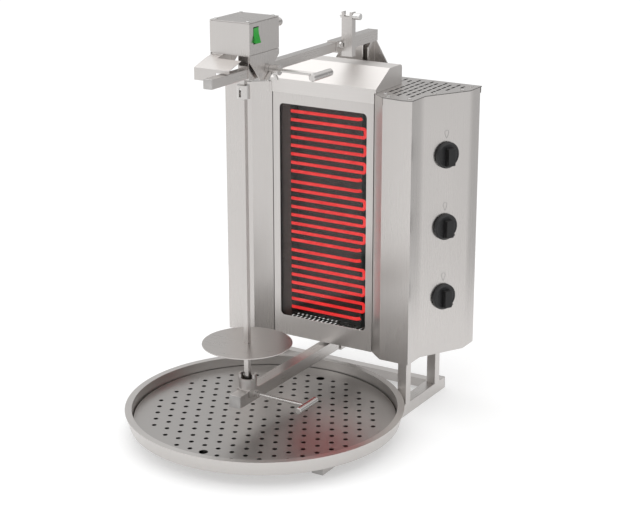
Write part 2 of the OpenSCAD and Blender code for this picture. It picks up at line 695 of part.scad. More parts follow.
// Clips that hold the pane against the panel
clip_w = 16;
module glass_clips() color(steel)
    for (s = [-1, 1], z = [win_z - win_h*0.36, win_z + win_h*0.36])
        translate([0, 0, z - clip_w/2]) linear_extrude(clip_w) polygon(side_of(clip_outline, s));
clip_t = 1.5;
clip_out = glass_w/2 + 3.5;
clip_outline = [[clip_out, sheet], [panel_w/2 - sheet, sheet], [panel_w/2 - sheet, sheet + clip_t],
                [clip_out + clip_t, sheet + clip_t], [clip_out + clip_t, sheet + glass_t + clip_t],
                [glass_w/2 - 5, sheet + glass_t + clip_t], [glass_w/2 - 5, sheet + glass_t],
                [clip_out, sheet + glass_t]];

// Tray-shaped mirror behind the rods, open at its foot, with flanges that lie on the panel's folded edges
reflector_top = hood_bend - 12;
module reflector() color(dark_steel) difference() {
    union() {
        span([-reflector_x, panel_back, reflector_low], [reflector_x, reflector_y + 1, reflector_top]);
        span([-panel_w/2, panel_back, reflector_low], [panel_w/2, panel_back + 1, reflector_top]);
    }
    span([-reflector_x + 1, panel_back - through, reflector_low - through],
         [reflector_x - 1, reflector_y, reflector_top - 1]);
    for (i = [0 : zones - 1], s = [-1, 1])
        rod_y_axis(lead_x, reflector_y - 5, reflector_y + 5,
                   zone_z(i) + s*row_pitch*(rows - 1)/2, rod_d + 0.6);
}

// One zone: rows joined by square bends at both sides, with both ends turned back through the reflector.
// The bends are a trace thicker than the straight stretches, which end just inside them.
bend_d = rod_d + 0.3;
tuck = 0.4;
module bend(turn) {
    rotate_extrude(angle = 90, $fn = 36) translate([turn, 0]) circle(d = bend_d, $fn = 24);
}
module element(i) {
    z0 = zone_z(i) - row_pitch*(rows - 1)/2;
    for (k = [0 : rows - 1]) let (last = k == 0 || k == rows - 1)
        rod_x_axis(-row_end - tuck, (last ? lead_x - lead_turn : row_end) + tuck,
                   rod_y, z0 + k*row_pitch, rod_d, $fn = 24);
    for (k = [0 : rows - 2]) let (s = k % 2 == 0 ? -1 : 1) translate([0, rod_y, z0 + k*row_pitch]) {
        for (m = [0, 1]) translate([s*row_end, 0, bend_r + m*(row_pitch - 2*bend_r)])
            rotate([90, 0, 0]) rotate([0, 0, (s > 0 ? 270 : 180) + (s > 0 ? 90 : -90)*m]) bend(bend_r);
        translate([s*bend_x, 0, bend_r - tuck])
            cylinder(d = rod_d, h = row_pitch - 2*bend_r + 2*tuck, $fn = 24);
    }
    for (z = [z0, z0 + (rows - 1)*row_pitch]) {
        translate([lead_x - lead_turn, rod_y + lead_turn, z]) rotate([0, 0, -90]) bend(lead_turn);
        rod_y_axis(lead_x, rod_y + lead_turn - tuck, lead_y, z, rod_d, $fn = 24);
    }
}
module element_bottom() color(glow) element(0);
module element_middle() color(glow) element(1);
module element_top() color(glow) element(2);

// Notched plates behind both ends of the rows, which carry the rods
comb_x = row_end - 2.5;
comb_t = 2;
seat = 0.15;
module element_comb() color(dark_steel) for (s = [-1, 1]) difference() {
    span([s*comb_x - comb_t/2, rod_y - 1, reflector_low + 4],
         [s*comb_x + comb_t/2, reflector_y, reflector_top - 4]);
    for (i = [0 : zones - 1], k = [0 : rows - 1])
        translate([s*comb_x, rod_y, zone_z(i) + (k - (rows - 1)/2)*row_pitch])
            cube([4*comb_t, rod_d + 2*seat, rod_d + 2*seat], center = true);
}

// Upright strip in front of the left bends, held by the side of the reflector
screen_y = 8;
module rod_screen() color(dark_steel) translate([0, 0, reflector_low])
    linear_extrude(reflector_top - 1 - reflector_low)
        polygon(fold([[-bend_x + 7, screen_y], [-reflector_x + 1, screen_y],
                      [-reflector_x + 1, reflector_y - 1]], -1.2));

hood_path = [[-sheet, hood_low], [-sheet, hood_bend], [hood_slope, hood_top], [hood_rear - 6, hood_top],
             [hood_rear - 1.8, hood_top - 1.8], [hood_rear, hood_top - 6], [hood_rear, top_z]];
module hood() color(steel) {
    difference() {
        along_x(-hood_w/2, hood_w/2) polygon(fold(hood_path, -sheet));
        for (s = [-1, 1])
            span([s*hood_w/2 - (hood_w/2 - edge_x + 0.3), -sheet - through, hood_low - through],
                 [s*hood_w/2 + (hood_w/2 - edge_x + 0.3), through, deck_z + 0.3]);
    }
    for (x = [-hood_w/2, hood_w/2 - sheet]) along_x(x, x + sheet)
        polygon([[sheet, top_z], [-sheet/2, hood_bend], [hood_slope, hood_top - sheet/2],
                 [hood_rear - 6, hood_top - sheet/2], [hood_rear - 2, hood_top - 3], [hood_rear - 1, top_z]]);
}

module wing(s) {
    translate([0, 0, floor_z]) linear_extrude(body_h - sheet) polygon(fold(side_of(wing_path, s), s*sheet));
}
module left_wing() color(steel) wing(-1);
module right_wing() color(steel) difference() {
    wing(1);
    for (i = [0 : zones - 1]) translate([ctl_mid[0], ctl_mid[1], zone_z(i)])
        rotate([0, 90, ctl_turn]) translate([0, 0, -5]) cylinder(d = 10, h = 10);
}

// Slots of one cover: rows along Y inside a slanted field
module cover_slots(s) {
    for (c = [0 : 9], r = [0 : 6])
        let (x = hood_w/2 - 14 + c*slot_px, y = 10 + r*slot_py + (c % 2)*slot_py/2)
        if (y > 22 - (x - hood_w/2 - 16)*0.55 && y < body_d - 18 && (x > hood_w/2 + 10 || y > hood_rear + 12)
            && x < out_x - side_run - 14 + max(0, y - 42)*0.5)
            translate([s*x, y]) slot_2d(slot_l, slot_w);
}

cover_in = 60;                       // the covers reach this close to the middle behind the hood
cover_over = 1.5;                    // how far the covers stand out over the wings
nose = 7;                            // the covers come forward to a blunt nose over the wing face
nose_in = 18;
hood_gap = 0.3;
rear_lip = 14;
// Depth of the flare's front face at place x, moved forward by t
function flare_y(x, t) = -(x - edge_x)*flare_d/flare_w - t*norm([flare_w, flare_d])/flare_w;
lip_x = hood_w/2 + hood_gap;
cover_outline = concat([[cover_in, body_d + 1 + sheet], [cover_in, hood_rear + hood_gap],
                        [lip_x, hood_rear + hood_gap], [lip_x, flare_y(lip_x, cover_over)]],
                       [mitre(wing_path, 2, -cover_over), [out_x - side_run - nose_in, -flare_d - nose]],
                       [for (i = [3 : len(wing_path) - 2]) mitre(wing_path, i, -cover_over)],
                       [[out_x + cover_over, body_d + 1 + sheet]]);
module cover(s) {
    difference() {
        translate([0, 0, deck_z]) linear_extrude(sheet) polygon(side_of(cover_outline, s));
        translate([0, 0, deck_z - through]) linear_extrude(sheet + 2*through) cover_slots(s);
        for (p = cover_screw_places) translate([s*p[0], p[1], deck_z - through])
            cylinder(d = screw_d, h = sheet + 2*through, $fn = 24);
    }
    // lip behind the back panel
    translate([0, 0, top_z - rear_lip]) linear_extrude(rear_lip - sheet/2)
        polygon(side_of([[cover_in, body_d + 1], [out_x, body_d + 1], [out_x, body_d + 1 + sheet],
                         [cover_in, body_d + 1 + sheet]], s));
    // lip in front of the flare, lower at its inner end
    hull() for (q = [[lip_x, hood_low], [wing_x, hood_low + 6]])
        translate([0, 0, q[1]]) linear_extrude(top_z - sheet/2 - q[1])
            polygon(side_of([[q[0], flare_y(q[0], 0.3)], [q[0], flare_y(q[0], 1.3)],
                             [q[0] - 0.4, flare_y(q[0], 1.3)]], s));
}
cover_screw_places = [[hood_w/2 + 18, 4], [wing_x + 6, -flare_d + 12],
                      [out_x - side_run - 12, -flare_d + 12], [out_x - side_run + 6, face_d - flare_d + 30],
                      [out_x - 14, face_d - flare_d + slant_d - 4], [out_x - 14, body_d - 14]];
module left_cover() color(steel) cover(-1);
module right_cover() color(steel) cover(1);

module cover_screws() color(bright) for (s = [-1, 1], p = cover_screw_places)
    translate([s*p[0], p[1], top_z]) {
        cylinder(d1 = 9, d2 = 5.5, h = 2, $fn = 24);
        translate([0, 0, -8]) cylinder(d = 4.6, h = 8, $fn = 24);
    }

module deck_plate() color(steel)
    span([-cover_in + seam, hood_rear + hood_gap, deck_z], [cover_in - seam, body_d + 1 + sheet, top_z]);

module back_panel() color(steel) difference() {
    span([-out_x + sheet, body_d - sheet, floor_z], [out_x - sheet, body_d, deck_z]);
    for (c = [-8 : 8], r = [0 : 2]) translate([c*14, body_d, floor_z + 90 + r*34])
        rotate([90, 0, 0]) translate([0, 0, -5]) linear_extrude(10) slot_2d(24, 5);
    rod_y_axis(out_x - 60, body_d - 5, body_d + 5, floor_z + 40, 20);
}

// ---------- controls ----------

// Round skirt with a raised grip bar; the spindle is held in its hub
module knob(i) {
    translate([ctl_mid[0], ctl_mid[1], zone_z(i)]) rotate([0, 90, ctl_turn]) {
        translate([0, 0, 1]) cylinder(d = knob_d, h = 6, $fn = 64);
        translate([0, 0, 7]) cylinder(d1 = knob_d, d2 = knob_d - 8, h = 3.5, $fn = 64);
        difference() {
            translate([0, 0, 10]) cylinder(d = knob_d - 10, h = knob_h - 9, $fn = 64);
            for (s = [-1, 1]) translate([0, s*(grip_w/2 + knob_d/2), knob_h])
                cube([2*knob_d, knob_d, 2*knob_h - 18], center = true);
        }
        translate([0, 0, -16]) cylinder(d = spindle_d, h = 18, $fn = 24);
    }
}
module knob_bottom() color(black) knob(0);
module knob_middle() color(black) knob(1);
module knob_top() color(black) knob(2);

module regulators() color(ceramic) for (i = [0 : zones - 1])
    translate([ctl_mid[0], ctl_mid[1], zone_z(i)]) rotate([0, 90, ctl_turn]) difference() {
        union() {
            translate([-22, -22, -sheet - 26]) cube([44, 44, 25.6]);
            translate([0, 0, -sheet - 1]) cylinder(d = 9.6, h = 2);
        }
        translate([0, 0, -17]) cylinder(d = spindle_d + 2*run, h = 30, $fn = 24);
    }

term_x = 178;
term_y = 95;
module terminal_block() color(ceramic) {
    span([term_x - 14, term_y, floor_z + sheet], [term_x + 14, term_y + 60, floor_z + sheet + 22]);
    for (k = [-2 : 2]) translate([term_x, term_y + 30 + k*11, floor_z + sheet + 21]) cylinder(d = 6, h = 4);
}

module mains_gland() color(black) translate([out_x - 60, body_d, floor_z + 40]) rotate([-90, 0, 0])
    difference() {
        union() {
            cylinder(d = 27, h = 6, $fn = 6);
            translate([0, 0, 6]) cylinder(d1 = 24, d2 = 17, h = 12);
            translate([0, 0, -10]) cylinder(d = 19.6, h = 10);
            translate([0, 0, -7]) cylinder(d = 26, h = 5.4);
        }
        translate([0, 0, -12]) cylinder(d = 9, h = 40);
    }

base_frame();
tube_plugs();
arm_hangers();
lower_arm();
drip_tray();
tray_grate();
cup_saddle();
bearing_cup();
cup_bush();
lower_clamp();
skewer_bar();
meat_disc();
disc_pin();
drive_collar();
collar_pin();
output_shaft();
motor_carriage();
carriage_guide();
motor_housing();
motor_lid();
lid_screws();
gear_motor();
switch_frame();
rocker_switch();
motor_gland();
arm_shield();
upper_clamp();
wing_nut();
upper_arm();
arm_sleeve();
sleeve_bolts();
sleeve_tower();
fork_post();
fork_screw();
body_floor();
front_panel();
window_glass();
glass_clips();
reflector();
element_bottom();
element_middle();
element_top();
element_comb();
rod_screen();
hood();
left_wing();
right_wing();
left_cover();
right_cover();
cover_screws();
deck_plate();
back_panel();
knob_bottom();
knob_middle();
knob_top();
regulators();
terminal_block();
mains_gland();
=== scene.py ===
# %% [markdown]
# # An upright skewer grill in brushed stainless steel
#
# The grill's construction comes in as a fixed frame: every tube, sheet, knob and rod at its real size.
# This lesson gives it its surfaces: brushed and polished steel, a dark pane with glowing rods behind it,
# black knobs, a green rocker, and the rounded edges and screws that catch the light.

# %% Load the frame
import json
import math

import bmesh
import bpy
from mathutils import Matrix, Vector

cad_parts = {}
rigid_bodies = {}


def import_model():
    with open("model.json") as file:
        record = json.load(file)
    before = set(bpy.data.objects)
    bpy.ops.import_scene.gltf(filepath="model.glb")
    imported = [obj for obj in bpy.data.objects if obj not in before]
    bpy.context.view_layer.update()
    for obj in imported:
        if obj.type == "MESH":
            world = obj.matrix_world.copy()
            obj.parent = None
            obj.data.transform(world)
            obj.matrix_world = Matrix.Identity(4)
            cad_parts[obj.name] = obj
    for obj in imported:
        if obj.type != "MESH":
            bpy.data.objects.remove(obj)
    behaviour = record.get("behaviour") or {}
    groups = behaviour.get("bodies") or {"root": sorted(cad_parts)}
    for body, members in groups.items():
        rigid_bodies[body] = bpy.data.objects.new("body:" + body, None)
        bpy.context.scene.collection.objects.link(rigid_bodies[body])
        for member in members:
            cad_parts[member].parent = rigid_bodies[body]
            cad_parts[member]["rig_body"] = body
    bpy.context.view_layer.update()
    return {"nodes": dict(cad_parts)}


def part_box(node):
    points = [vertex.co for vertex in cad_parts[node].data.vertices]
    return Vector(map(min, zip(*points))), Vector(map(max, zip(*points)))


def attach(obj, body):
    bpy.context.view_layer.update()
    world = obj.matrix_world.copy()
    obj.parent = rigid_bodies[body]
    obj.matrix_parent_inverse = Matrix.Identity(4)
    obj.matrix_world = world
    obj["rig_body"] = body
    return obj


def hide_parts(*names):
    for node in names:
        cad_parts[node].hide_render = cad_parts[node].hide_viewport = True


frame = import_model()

nodes = frame["nodes"]
scene = bpy.context.scene
MM = 0.001

# %% [markdown]
# ## Camera
#
# The product stands half turned to the right and is seen from above through a long lens, which keeps its
# upright edges nearly parallel. The camera's place and angles come first, because every finish is judged
# from here.

# %% Camera
camera_place = (1.6251, -2.7153, 1.3139)
view_azimuth = 30.99
view_down = 17.71
lens = bpy.data.cameras.new("camera")
lens.sensor_width = 36.0
lens.lens = 90.43
lens.dof.use_dof = False
camera = bpy.data.objects.new("camera", lens)
camera.location = camera_place
camera.rotation_euler = (math.radians(90 - view_down), 0.0, math.radians(view_azimuth))
scene.collection.objects.link(camera)
scene.camera = camera
print("camera: lens", lens.lens, "mm, azimuth", view_azimuth, "degrees")

# %% [markdown]
# ## Small helpers
#
# The steps below select faces by their place, apply modifiers and leave each piece at the origin with its
# place in its mesh. These few functions do the repeated part of that.


# %% Helpers for selecting and shaping
def deselect():
    """Object mode with nothing selected."""
    if bpy.context.object and bpy.context.object.mode != "OBJECT":
        bpy.ops.object.mode_set(mode="OBJECT")
    bpy.ops.object.select_all(action="DESELECT")


def choose(piece):
    """Makes piece the only selected object, and the active one."""
    deselect()
    piece.select_set(True)
    bpy.context.view_layer.objects.active = piece


def edit(piece):
    """Edit mode on piece, in face mode, with nothing selected."""
    choose(piece)
    bpy.ops.object.mode_set(mode="EDIT")
    bpy.ops.mesh.select_mode(type="FACE")
    bpy.ops.mesh.select_all(action="DESELECT")


def pick(piece, test):
    """Selects the faces whose centre and normal pass the test. Edit mode is on."""
    shape = bmesh.from_edit_mesh(piece.data)
    for face in shape.faces:
        face.select_set(bool(test(face.calc_center_median(), face.normal)))
    bmesh.update_edit_mesh(piece.data)


def place(piece):
    """Writes the object's place, turn and scale into its mesh."""
    choose(piece)
    bpy.ops.object.transform_apply(location=True, rotation=True, scale=True)


def bevelled(piece, width, segments=2, angle=30):
    """Rounds the edges that are sharper than angle degrees."""
    choose(piece)
    step = piece.modifiers.new("round", "BEVEL")
    step.width = width
    step.segments = segments
    step.limit_method = "ANGLE"
    step.angle_limit = math.radians(angle)
    step.use_clamp_overlap = True
    bpy.ops.object.modifier_apply(modifier=step.name)


def smooth(piece, angle=35):
    """Shades smooth across edges flatter than angle degrees, and keeps the large faces flat."""
    choose(piece)
    bpy.ops.object.shade_smooth_by_angle(angle=math.radians(angle))
    flat = piece.modifiers.new("flat faces", "WEIGHTED_NORMAL")
    flat.keep_sharp = True
    flat.weight = 90
    bpy.ops.object.modifier_apply(modifier=flat.name)


def dress(piece, material):
    """Gives the whole piece one material."""
    piece.data.materials.clear()
    piece.data.materials.append(material)


def stand_for(piece, name):
    """piece takes the place of this node, with its body."""
    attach(piece, nodes[name]["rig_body"])
    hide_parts(name)


# %% [markdown]
# ## Node recipes for the finishes
#
# Every finish starts from the same three steps: object coordinates stretched along the grain, a noise, and
# a range that turns the noise into a small change of roughness, colour or height. Written once here, they
# keep the materials below short.


# %% Node helpers
def material_with(name, **sockets):
    """A new material and its node tree, with fixed values on the shader's own sockets."""
    material = bpy.data.materials.new(name)
    material.use_nodes = True
    tree = material.node_tree
    shader = tree.nodes["Principled BSDF"]
    for socket, value in sockets.items():
        shader.inputs[socket.replace("_", " ")].default_value = value
    return material, tree, shader


def noise(tree, scale, detail=3.0, rough=0.55):
    """Noise on object coordinates; scale is three numbers of waves per metre."""
    where = tree.nodes.new("ShaderNodeTexCoord")
    stretch = tree.nodes.new("ShaderNodeMapping")
    stretch.inputs["Scale"].default_value = scale
    grain = tree.nodes.new("ShaderNodeTexNoise")
    grain.inputs["Scale"].default_value = 1.0
    grain.inputs["Detail"].default_value = detail
    grain.inputs["Roughness"].default_value = rough
    tree.links.new(where.outputs["Object"], stretch.inputs["Vector"])
    tree.links.new(stretch.outputs["Vector"], grain.inputs["Vector"])
    return grain.outputs["Fac"]


def ranged(tree, value, low, high, start=0.3, end=0.7):
    """Maps a noise value from start..end to low..high."""
    step = tree.nodes.new("ShaderNodeMapRange")
    step.inputs["From Min"].default_value = start
    step.inputs["From Max"].default_value = end
    step.inputs["To Min"].default_value = low
    step.inputs["To Max"].default_value = high
    tree.links.new(value, step.inputs["Value"])
    return step.outputs["Result"]


def two_tone(tree, value, dark, light, start=0.3, end=0.7):
    """A colour between dark and light by a noise value."""
    ramp = tree.nodes.new("ShaderNodeValToRGB")
    ramp.color_ramp.elements[0].position = start
    ramp.color_ramp.elements[0].color = (*dark, 1.0)
    ramp.color_ramp.elements[1].position = end
    ramp.color_ramp.elements[1].color = (*light, 1.0)
    tree.links.new(value, ramp.inputs["Fac"])
    return ramp.outputs["Color"]


def raised(tree, shader, height, depth, strength=0.3):
    """Feeds a height into the shader as bump."""
    bump = tree.nodes.new("ShaderNodeBump")
    bump.inputs["Strength"].default_value = strength
    bump.inputs["Distance"].default_value = depth
    tree.links.new(height, bump.inputs["Height"])
    tree.links.new(bump.outputs["Normal"], shader.inputs["Normal"])


# %% [markdown]
# ## Brushed and polished steel
#
# The sheets are ground with a belt, so their fine lines all run one way: up the cabinet, along the tubes
# and across the covers. Under soft light such steel is a light warm grey with slow, cloudy changes where
# hands and cloths have passed. Long noise gives the lines, wide noise the clouds. Each grain direction is
# a material of its own, because the direction belongs to the sheet and not to the light.


# %% Steel
along = 7.0      # waves per metre along a ground line
across = 1500.0  # waves per metre across it
GRAIN = {"x": (along, across, across), "y": (across, along, across), "z": (across, across, along)}
SMEAR = (6.0, 6.0, 4.0)
line_depth = 0.02 * MM


def steel(name, grain, tone, roughness, cloud=0.04, lines=0.03):
    """Brushed steel; grain is the axis of its lines, tone its colour."""
    material, tree, shader = material_with(name, Metallic=1.0)
    hair = noise(tree, GRAIN[grain], detail=2.0)
    smear = noise(tree, SMEAR, detail=4.0)
    both = tree.nodes.new("ShaderNodeMath")
    both.operation = "ADD"
    tree.links.new(ranged(tree, hair, roughness - lines, roughness + lines), both.inputs[0])
    tree.links.new(ranged(tree, smear, -cloud, cloud), both.inputs[1])
    tree.links.new(both.outputs["Value"], shader.inputs["Roughness"])
    dark = tuple(0.96 * c for c in tone)
    tree.links.new(two_tone(tree, hair, dark, tone), shader.inputs["Base Color"])
    raised(tree, shader, hair, line_depth, 0.12)
    return material


warm = (0.600, 0.576, 0.559)
steel_up = steel("brushed steel, upright lines", "z", warm, 0.30)
steel_across = steel("brushed steel, lines across", "x", warm, 0.30)
steel_along = steel("brushed steel, lines front to back", "y", warm, 0.30)
hood_steel = steel("brushed hood steel", "x", (0.74, 0.715, 0.696), 0.5, cloud=0.02, lines=0.02)
polished = steel("polished steel", "z", (0.60, 0.58, 0.565), 0.26, cloud=0.03, lines=0.02)
tray_steel = steel("pressed tray steel", "x", (0.60, 0.578, 0.56), 0.34, cloud=0.04, lines=0.02)
grate_steel = steel("ground grate steel", "x", (0.455, 0.438, 0.424), 0.33, cloud=0.02, lines=0.02)
disc_steel = steel("polished disc", "x", (0.54, 0.515, 0.497), 0.3, cloud=0.03, lines=0.02)
# dark narrow faces of the covers: dull cut steel, and painted shadow under their front edges
cut_edge_and_shadow = steel("cut sheet edge and painted shadow", "x", (0.16, 0.155, 0.15), 0.5, cloud=0.05, lines=0.03)
# dark brown under the grate: partly fat stain, partly painted shade under the grate and round its rim
fat_and_shade = steel("tray floor under the grate", "x", (0.060, 0.054, 0.048), 0.55, cloud=0.1, lines=0.04)
print("steel finishes:", len([m for m in bpy.data.materials if "steel" in m.name]))

# %% [markdown]
# ## Plastics, paint and ceramic
#
# The knobs, the mains gland and the tube plugs are moulded, so they have a faint pebble and a soft shine.
# The rocker is glossy green plastic. The parts inside the cabinet get a dark steel whose darkness is
# painted shade, with a cyan tint that offsets the red light of the rods on them. This keeps the rods the
# only bright thing behind the pane.


# %% Moulded and cast finishes
wear_scale = 45.0
pebble_depth = 0.08 * MM


def moulded(name, colour, roughness, pebble=1400.0, **extra):
    """Plastic, ceramic, paint or scale with a fine pebbled skin."""
    material, tree, shader = material_with(name, **extra)
    skin = noise(tree, (pebble,) * 3, detail=1.0)
    wear = noise(tree, (wear_scale,) * 3, detail=3.0)
    light = tuple(min(1.0, 1.25 * c + 0.004) for c in colour)
    tree.links.new(two_tone(tree, wear, colour, light), shader.inputs["Base Color"])
    tree.links.new(ranged(tree, wear, roughness - 0.06, roughness + 0.06), shader.inputs["Roughness"])
    raised(tree, shader, skin, pebble_depth, 0.2)
    return material


black_plastic = moulded("black moulded plastic", (0.012, 0.012, 0.013), 0.42)
# blacker than the skirt: painted shade on the grip's top and sides
grip_plastic_in_painted_shade = moulded("black matt grip, darker as painted shade", (0.0045, 0.0045, 0.005), 0.55)
plug_plastic = moulded("grey plug plastic", (0.42, 0.41, 0.40), 0.5)
green_plastic = moulded("green rocker plastic", (0.008, 0.30, 0.022), 0.3,
                        Coat_Weight=0.3, Coat_Roughness=0.15)
ceramic = moulded("pale ceramic", (0.72, 0.70, 0.64), 0.6)
# darker than oiled bronze: painted shade inside the bearing cup
bronze_darkened_as_shade = moulded("oiled bronze", (0.085, 0.062, 0.040), 0.4, Metallic=0.8)
# dark colour is painted shade inside the cabinet; the cyan tint offsets the rods' red light
dark_steel_painted_shade = moulded("dark steel, painted shade", (0.020, 0.052, 0.050), 0.5, pebble=500.0)
tinted_steel = moulded("heat-tinted steel", (0.060, 0.032, 0.028), 0.45, pebble=500.0, Metallic=0.4)
motor_paint = moulded("grey motor paint", (0.16, 0.16, 0.16), 0.5)
zinc = steel("bright zinc", "z", (0.72, 0.71, 0.70), 0.24, cloud=0.03, lines=0.02)

# %% [markdown]
# ## Glowing rods and the pane
#
# The heating rods glow an even red in front of the reflector and turn dark where their cold ends go back
# through it. The glow is an emission colour with slow changes along the tube, and it fades out between two
# depths. The pane is clear glass with a smoky tint.

# %% Rods
glow_ends = 18.5 * MM
cold_starts = 26 * MM
glow, tree, shader = material_with("glowing rod", Roughness=0.55, Emission_Strength=1.0)
heat = noise(tree, (30.0, 30.0, 30.0), detail=3.0)
hot = two_tone(tree, heat, (0.82, 0.014, 0.016), (0.98, 0.034, 0.032))
where = tree.nodes.new("ShaderNodeTexCoord")
parts = tree.nodes.new("ShaderNodeSeparateXYZ")
cold = tree.nodes.new("ShaderNodeMix")
cold.data_type = "RGBA"
tree.links.new(where.outputs["Object"], parts.inputs["Vector"])
tree.links.new(ranged(tree, parts.outputs["Y"], 0.0, 1.0, glow_ends, cold_starts), cold.inputs["Factor"])
tree.links.new(hot, cold.inputs["A"])
cold.inputs["B"].default_value = (0.0, 0.0, 0.0, 1.0)
tree.links.new(cold.outputs["Result"], shader.inputs["Emission Color"])
tree.links.new(two_tone(tree, heat, (0.05, 0.02, 0.02), (0.09, 0.03, 0.03)), shader.inputs["Base Color"])

# %% Pane
pane, tree, shader = material_with("smoky pane", Transmission_Weight=1.0, IOR=1.28)
smoke = noise(tree, (4.0, 4.0, 3.0), detail=3.0)
tree.links.new(ranged(tree, smoke, 0.0, 0.035), shader.inputs["Roughness"])
tree.links.new(two_tone(tree, smoke, (0.80, 0.81, 0.80), (0.86, 0.87, 0.86)), shader.inputs["Base Color"])

# %% [markdown]
# ## Finishes on the frame's own pieces
#
# Every node takes its finish here, and the copies that are made of some of them below inherit it. The grain
# follows how each one is made: up the folded sheets, along the tubes, across the covers.

# %% Dress the nodes
FINISH = {
    steel_up: ["front_panel", "left_wing", "right_wing", "back_panel", "sleeve_tower", "fork_post",
               "motor_housing", "motor_carriage", "skewer_bar", "glass_clips", "bearing_cup", "motor_gland"],
    hood_steel: ["hood"],
    steel_across: ["left_cover", "right_cover", "deck_plate", "body_floor", "motor_lid", "arm_shield",
                   "arm_hangers"],
    steel_along: ["base_frame", "lower_arm", "upper_arm", "arm_sleeve", "carriage_guide", "cup_saddle"],
    tray_steel: ["drip_tray"],
    grate_steel: ["tray_grate"],
    disc_steel: ["meat_disc"],
    polished: ["drive_collar", "output_shaft", "upper_clamp", "lower_clamp", "wing_nut"],
    zinc: ["lid_screws", "sleeve_bolts", "cover_screws", "fork_screw", "collar_pin", "disc_pin"],
    dark_steel_painted_shade: ["reflector", "element_comb", "rod_screen"],
    motor_paint: ["gear_motor"],
    plug_plastic: ["tube_plugs"],
    black_plastic: ["knob_bottom", "knob_middle", "knob_top", "switch_frame", "mains_gland"],
    green_plastic: ["rocker_switch"],
    bronze_darkened_as_shade: ["cup_bush"],
    ceramic: ["regulators", "terminal_block"],
    glow: ["element_bottom", "element_middle", "element_top"],
    pane: ["window_glass"],
}
for finish, names in FINISH.items():
    for name in names:
        for held in nodes[name].material_slots:
            held.material = finish
bare = sorted(set(nodes) - {name for names in FINISH.values() for name in names})
print("nodes without a finish:", bare)

# %% [markdown]
# ## Rounded edges on the sheets and tubes
#
# A folded sheet or a drawn tube never has a knife edge: its small radius catches a thin line of light, and
# without it the metal looks like paper. Each such node is copied, its loose triangles are merged into
# faces, and a bevel rounds every edge: by half a millimetre on the sheets, up to a millimetre on the tubes
# and handles, and less on small turned parts.


# %% Soften
def merged(name):
    """A copy of a node with its triangles joined into one skin, which takes the node's place."""
    piece = bpy.data.objects.new("soft_" + name, nodes[name].data.copy())
    scene.collection.objects.link(piece)
    edit(piece)
    bpy.ops.mesh.select_all(action="SELECT")
    bpy.ops.mesh.remove_doubles(threshold=0.01 * MM)
    deselect()
    stand_for(piece, name)
    return piece


def softened(name, width):
    """A merged copy with its flat faces made whole and its edges rounded."""
    piece = merged(name)
    edit(piece)
    bpy.ops.mesh.select_all(action="SELECT")
    bpy.ops.mesh.dissolve_limited(angle_limit=math.radians(0.5))
    deselect()
    bevelled(piece, width)
    smooth(piece)
    return piece


# radius in millimetres, and the nodes that get it
SOFT = {
    0.3: ["meat_disc", "bearing_cup", "drive_collar", "fork_screw", "motor_gland", "mains_gland",
          "switch_frame"],
    0.5: ["front_panel", "left_wing", "right_wing", "hood", "sleeve_tower", "fork_post", "motor_housing",
          "motor_lid", "motor_carriage", "arm_shield", "deck_plate", "back_panel", "drip_tray"],
    0.8: ["rocker_switch", "upper_clamp", "lower_clamp", "wing_nut"],
    1.0: ["base_frame", "lower_arm", "upper_arm", "arm_sleeve", "tube_plugs", "arm_hangers", "cup_saddle",
          "carriage_guide"],
}
soft = {}
for width, names in SOFT.items():
    for name in names:
        soft[name] = softened(name, width * MM)
print("softened:", len(soft), "pieces,", sum(len(p.data.polygons) for p in soft.values()), "faces")

# %% [markdown]
# ## Sheets with many holes
#
# The covers and the grate are flat sheets full of slots and holes, and the strip in front of the rods' bends
# is a folded band. They keep their sharp edges. The covers' narrow faces get a dark finish. It is partly the
# dull cut edge of a laser-cut sheet and partly painted shadow for the thin dark line under the covers' front
# edges. The grate lies in the tray with a little play, so its rim is drawn in, which leaves a gap all round.
# The dark line in that gap is painted shade on the tray's ledge, given further down. The strip is drawn out
# a little towards the rods.

# %% Cut edges: dull laser-cut steel and painted shadow
edge_height = 2.2 * MM
for name in ("left_cover", "right_cover"):
    # the narrow faces go dark: dull cut steel, and painted shadow under the covers' front edges
    soft[name] = merged(name)
    soft[name].data.materials.append(cut_edge_and_shadow)
    for face in soft[name].data.polygons:
        heights = [soft[name].data.vertices[i].co.z for i in face.vertices]
        if abs(face.normal.z) < 0.3 and max(heights) - min(heights) < edge_height:
            face.material_index = 1
print("cut edges:", sum(face.material_index for face in soft["right_cover"].data.polygons), "faces")

# %% Draw the grate's rim in
grate = merged("tray_grate")
grate_low, grate_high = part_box("tray_grate")
grate_centre = (Vector(grate_low) + Vector(grate_high)) / 2
grate_radius = (grate_high[0] - grate_low[0]) / 2
rim_width = 1 * MM
rim_play = 2.2 * MM
for vertex in grate.data.vertices:
    out = Vector((vertex.co.x - grate_centre.x, vertex.co.y - grate_centre.y, 0))
    if out.length > grate_radius - rim_width:
        vertex.co -= out.normalized() * rim_play
print("grate radius:", round(grate_radius, 4), "height", round(grate_high[2], 4))

# %% Widen the dark strip
strip = merged("rod_screen")
strip_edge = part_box("rod_screen")[1][0]
strip_extra = 4.5 * MM
edge_band = 1.5 * MM
for vertex in strip.data.vertices:
    if vertex.co.x > strip_edge - edge_band:
        vertex.co.x += strip_extra
dress(strip, tinted_steel)
print("dark strip: right edge at", round((strip_edge + strip_extra) / MM, 1), "mm")

# %% [markdown]
# ## Grain that turns with each tube, and the fat and painted shade under the grate
#
# The stand is one welded piece, but each of its tubes was ground along its own length before welding. The
# faces of the posts and of the cross tubes are picked by their place and get the steel whose lines run
# their way. Under the grate the tray's floor and the ledge the grate rests on turn dark brown. This is partly
# fat, since that floor never gets wiped while the grill is in use, and partly painted shade under the grate
# and in the gap round its rim.

